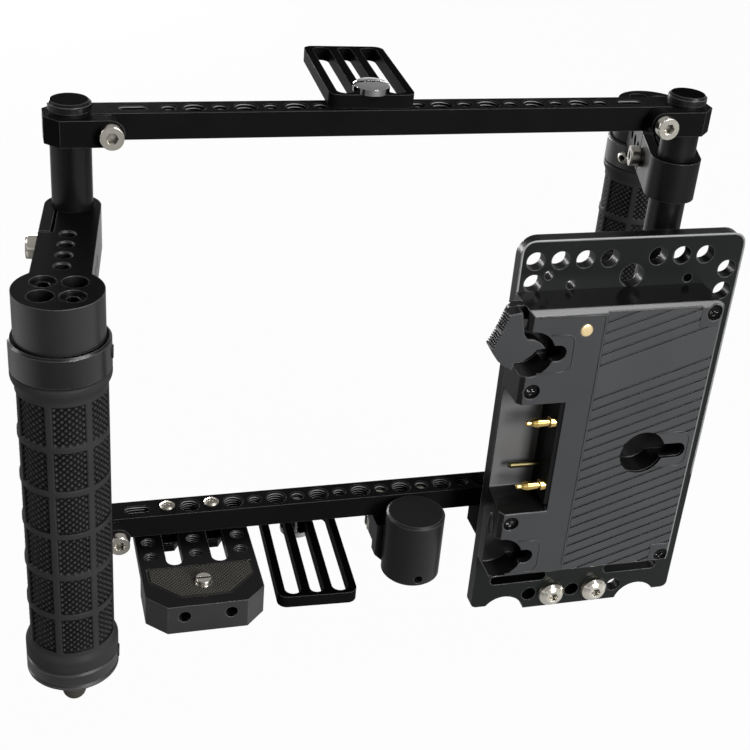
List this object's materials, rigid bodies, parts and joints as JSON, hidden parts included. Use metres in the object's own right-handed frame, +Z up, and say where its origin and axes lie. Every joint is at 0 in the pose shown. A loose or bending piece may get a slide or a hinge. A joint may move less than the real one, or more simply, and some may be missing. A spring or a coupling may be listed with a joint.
{
  "type": "monitor cage",
  "caption": "Two-rod cage that holds a field monitor between drilled bars, with swivelling grips, slotted plates, a sliding camera base, a stand socket and a battery adapter plate.",
  "frame": {"origin": "middle hole of the bottom bar, on the underside of the bar", "axes": "+X along the bars, -Y the front, +Z up along the rods"},
  "size_m": [0.3065, 0.1685, 0.2453],
  "materials": {
    "anodised_black": "black anodised, satin",
    "rod_satin": "black anodised tube, satin",
    "core_aluminium": "turned",
    "slate_aluminium": "dark grey coated",
    "steel": "nickel plated",
    "black_steel": "black oxide",
    "chrome": "polished",
    "grip_rubber": "moulded, matt",
    "pad_rubber": "knurled",
    "adapter_plastic": "moulded, fine grain",
    "black_plastic": "moulded",
    "gilt": "gold plated"
  },
  "bodies": {
    "base": {"bottom_bar": "anodised_black", "bottom_clamp_screws": "steel", "base_screws": "steel", "base_washers": "black_steel", "base_nuts": "black_steel", "stand_socket": "anodised_black", "socket_screws": "steel", "battery_bracket": "anodised_black", "bracket_screws": "steel", "back_plate": "slate_aluminium", "plate_bolts": "steel", "adapter_housing": "adapter_plastic", "rib_panel": "adapter_plastic", "adapter_screws": "black_steel", "contact_block": "black_plastic", "contact_pins": "gilt", "sense_pin": "gilt", "gilt_dot": "gilt", "lever_pivot": "black_steel"},
    "frame": {"rod_left": "rod_satin", "rod_right": "rod_satin", "rod_caps_top": "anodised_black", "rod_caps_bottom": "anodised_black", "top_bar": "anodised_black", "top_clamp_screws": "steel"},
    "left_handle": {"left_arm": "anodised_black", "left_clamp_screw": "steel", "left_disc_bolts": "black_steel", "left_core": "core_aluminium", "left_grip": "grip_rubber", "left_upper_ring": "anodised_black", "left_lower_ring": "anodised_black", "left_ring_screws": "black_steel", "left_end_plug": "anodised_black", "left_end_bolt": "black_steel"},
    "right_handle": {"right_arm": "anodised_black", "right_clamp_screw": "steel", "right_disc_bolts": "black_steel", "right_core": "core_aluminium", "right_grip": "grip_rubber", "right_upper_ring": "anodised_black", "right_lower_ring": "anodised_black", "right_ring_screws": "steel", "right_end_plug": "anodised_black", "right_end_bolt": "black_steel"},
    "top_screw": {"top_plate_screw": "chrome"},
    "top_slotted_plate": {"top_plate": "anodised_black"},
    "bottom_screw": {"bottom_plate_screw": "chrome"},
    "bottom_slotted_plate": {"bottom_plate": "anodised_black"},
    "camera_base": {"base_plate": "anodised_black", "base_pad": "pad_rubber"},
    "camera_stud": {"camera_screw": "steel"},
    "lever": {"release_lever": "adapter_plastic"}
  },
  "joints": [
    {"name": "frame_slide", "type": "slide", "parent": "base", "child": "frame", "axis": [0, 0, 1], "range_m": [-0.06, 0.002]},
    {"name": "left_arm_swivel", "type": "hinge", "parent": "frame", "child": "left_handle", "pos_m": [-0.12125, -0.00375, 0.1444], "axis": [0, 0, 1], "range_deg": [-172, 18]},
    {"name": "right_arm_swivel", "type": "hinge", "parent": "frame", "child": "right_handle", "pos_m": [0.12125, -0.00375, 0.1582], "axis": [0, 0, 1], "range_deg": [-72, 60]},
    {"name": "top_plate_swivel", "type": "hinge", "parent": "frame", "child": "top_screw", "pos_m": [-0.00953, 0, 0.19], "axis": [0, 0, 1], "continuous": true},
    {"name": "top_plate_slide", "type": "slide", "parent": "top_screw", "child": "top_slotted_plate", "axis": [-0.0436, -0.999, 0], "range_m": [0, 0.05]},
    {"name": "bottom_plate_swivel", "type": "hinge", "parent": "base", "child": "bottom_screw", "pos_m": [-0.02857, 0, -0.002], "axis": [0, 0, 1], "range_deg": [-3, 12]},
    {"name": "bottom_plate_slide", "type": "slide", "parent": "bottom_screw", "child": "bottom_slotted_plate", "axis": [0.0436, 0.999, 0], "range_m": [0, 0.05]},
    {"name": "base_plate_slide", "type": "slide", "parent": "base", "child": "camera_base", "axis": [0, 1, 0], "range_m": [0, 0.02]},
    {"name": "camera_screw_spin", "type": "hinge", "parent": "camera_base", "child": "camera_stud", "pos_m": [-0.0762, -0.0415, 0], "axis": [0, 0, 1], "continuous": true},
    {"name": "lever_press", "type": "hinge", "parent": "base", "child": "lever", "pos_m": [0.04677, -0.03925, 0.1152], "axis": [0, -1, 0], "range_deg": [0, 8], "stiffness_Nm_per_rad": 0.06, "springref_deg": -8.59}
  ]
}
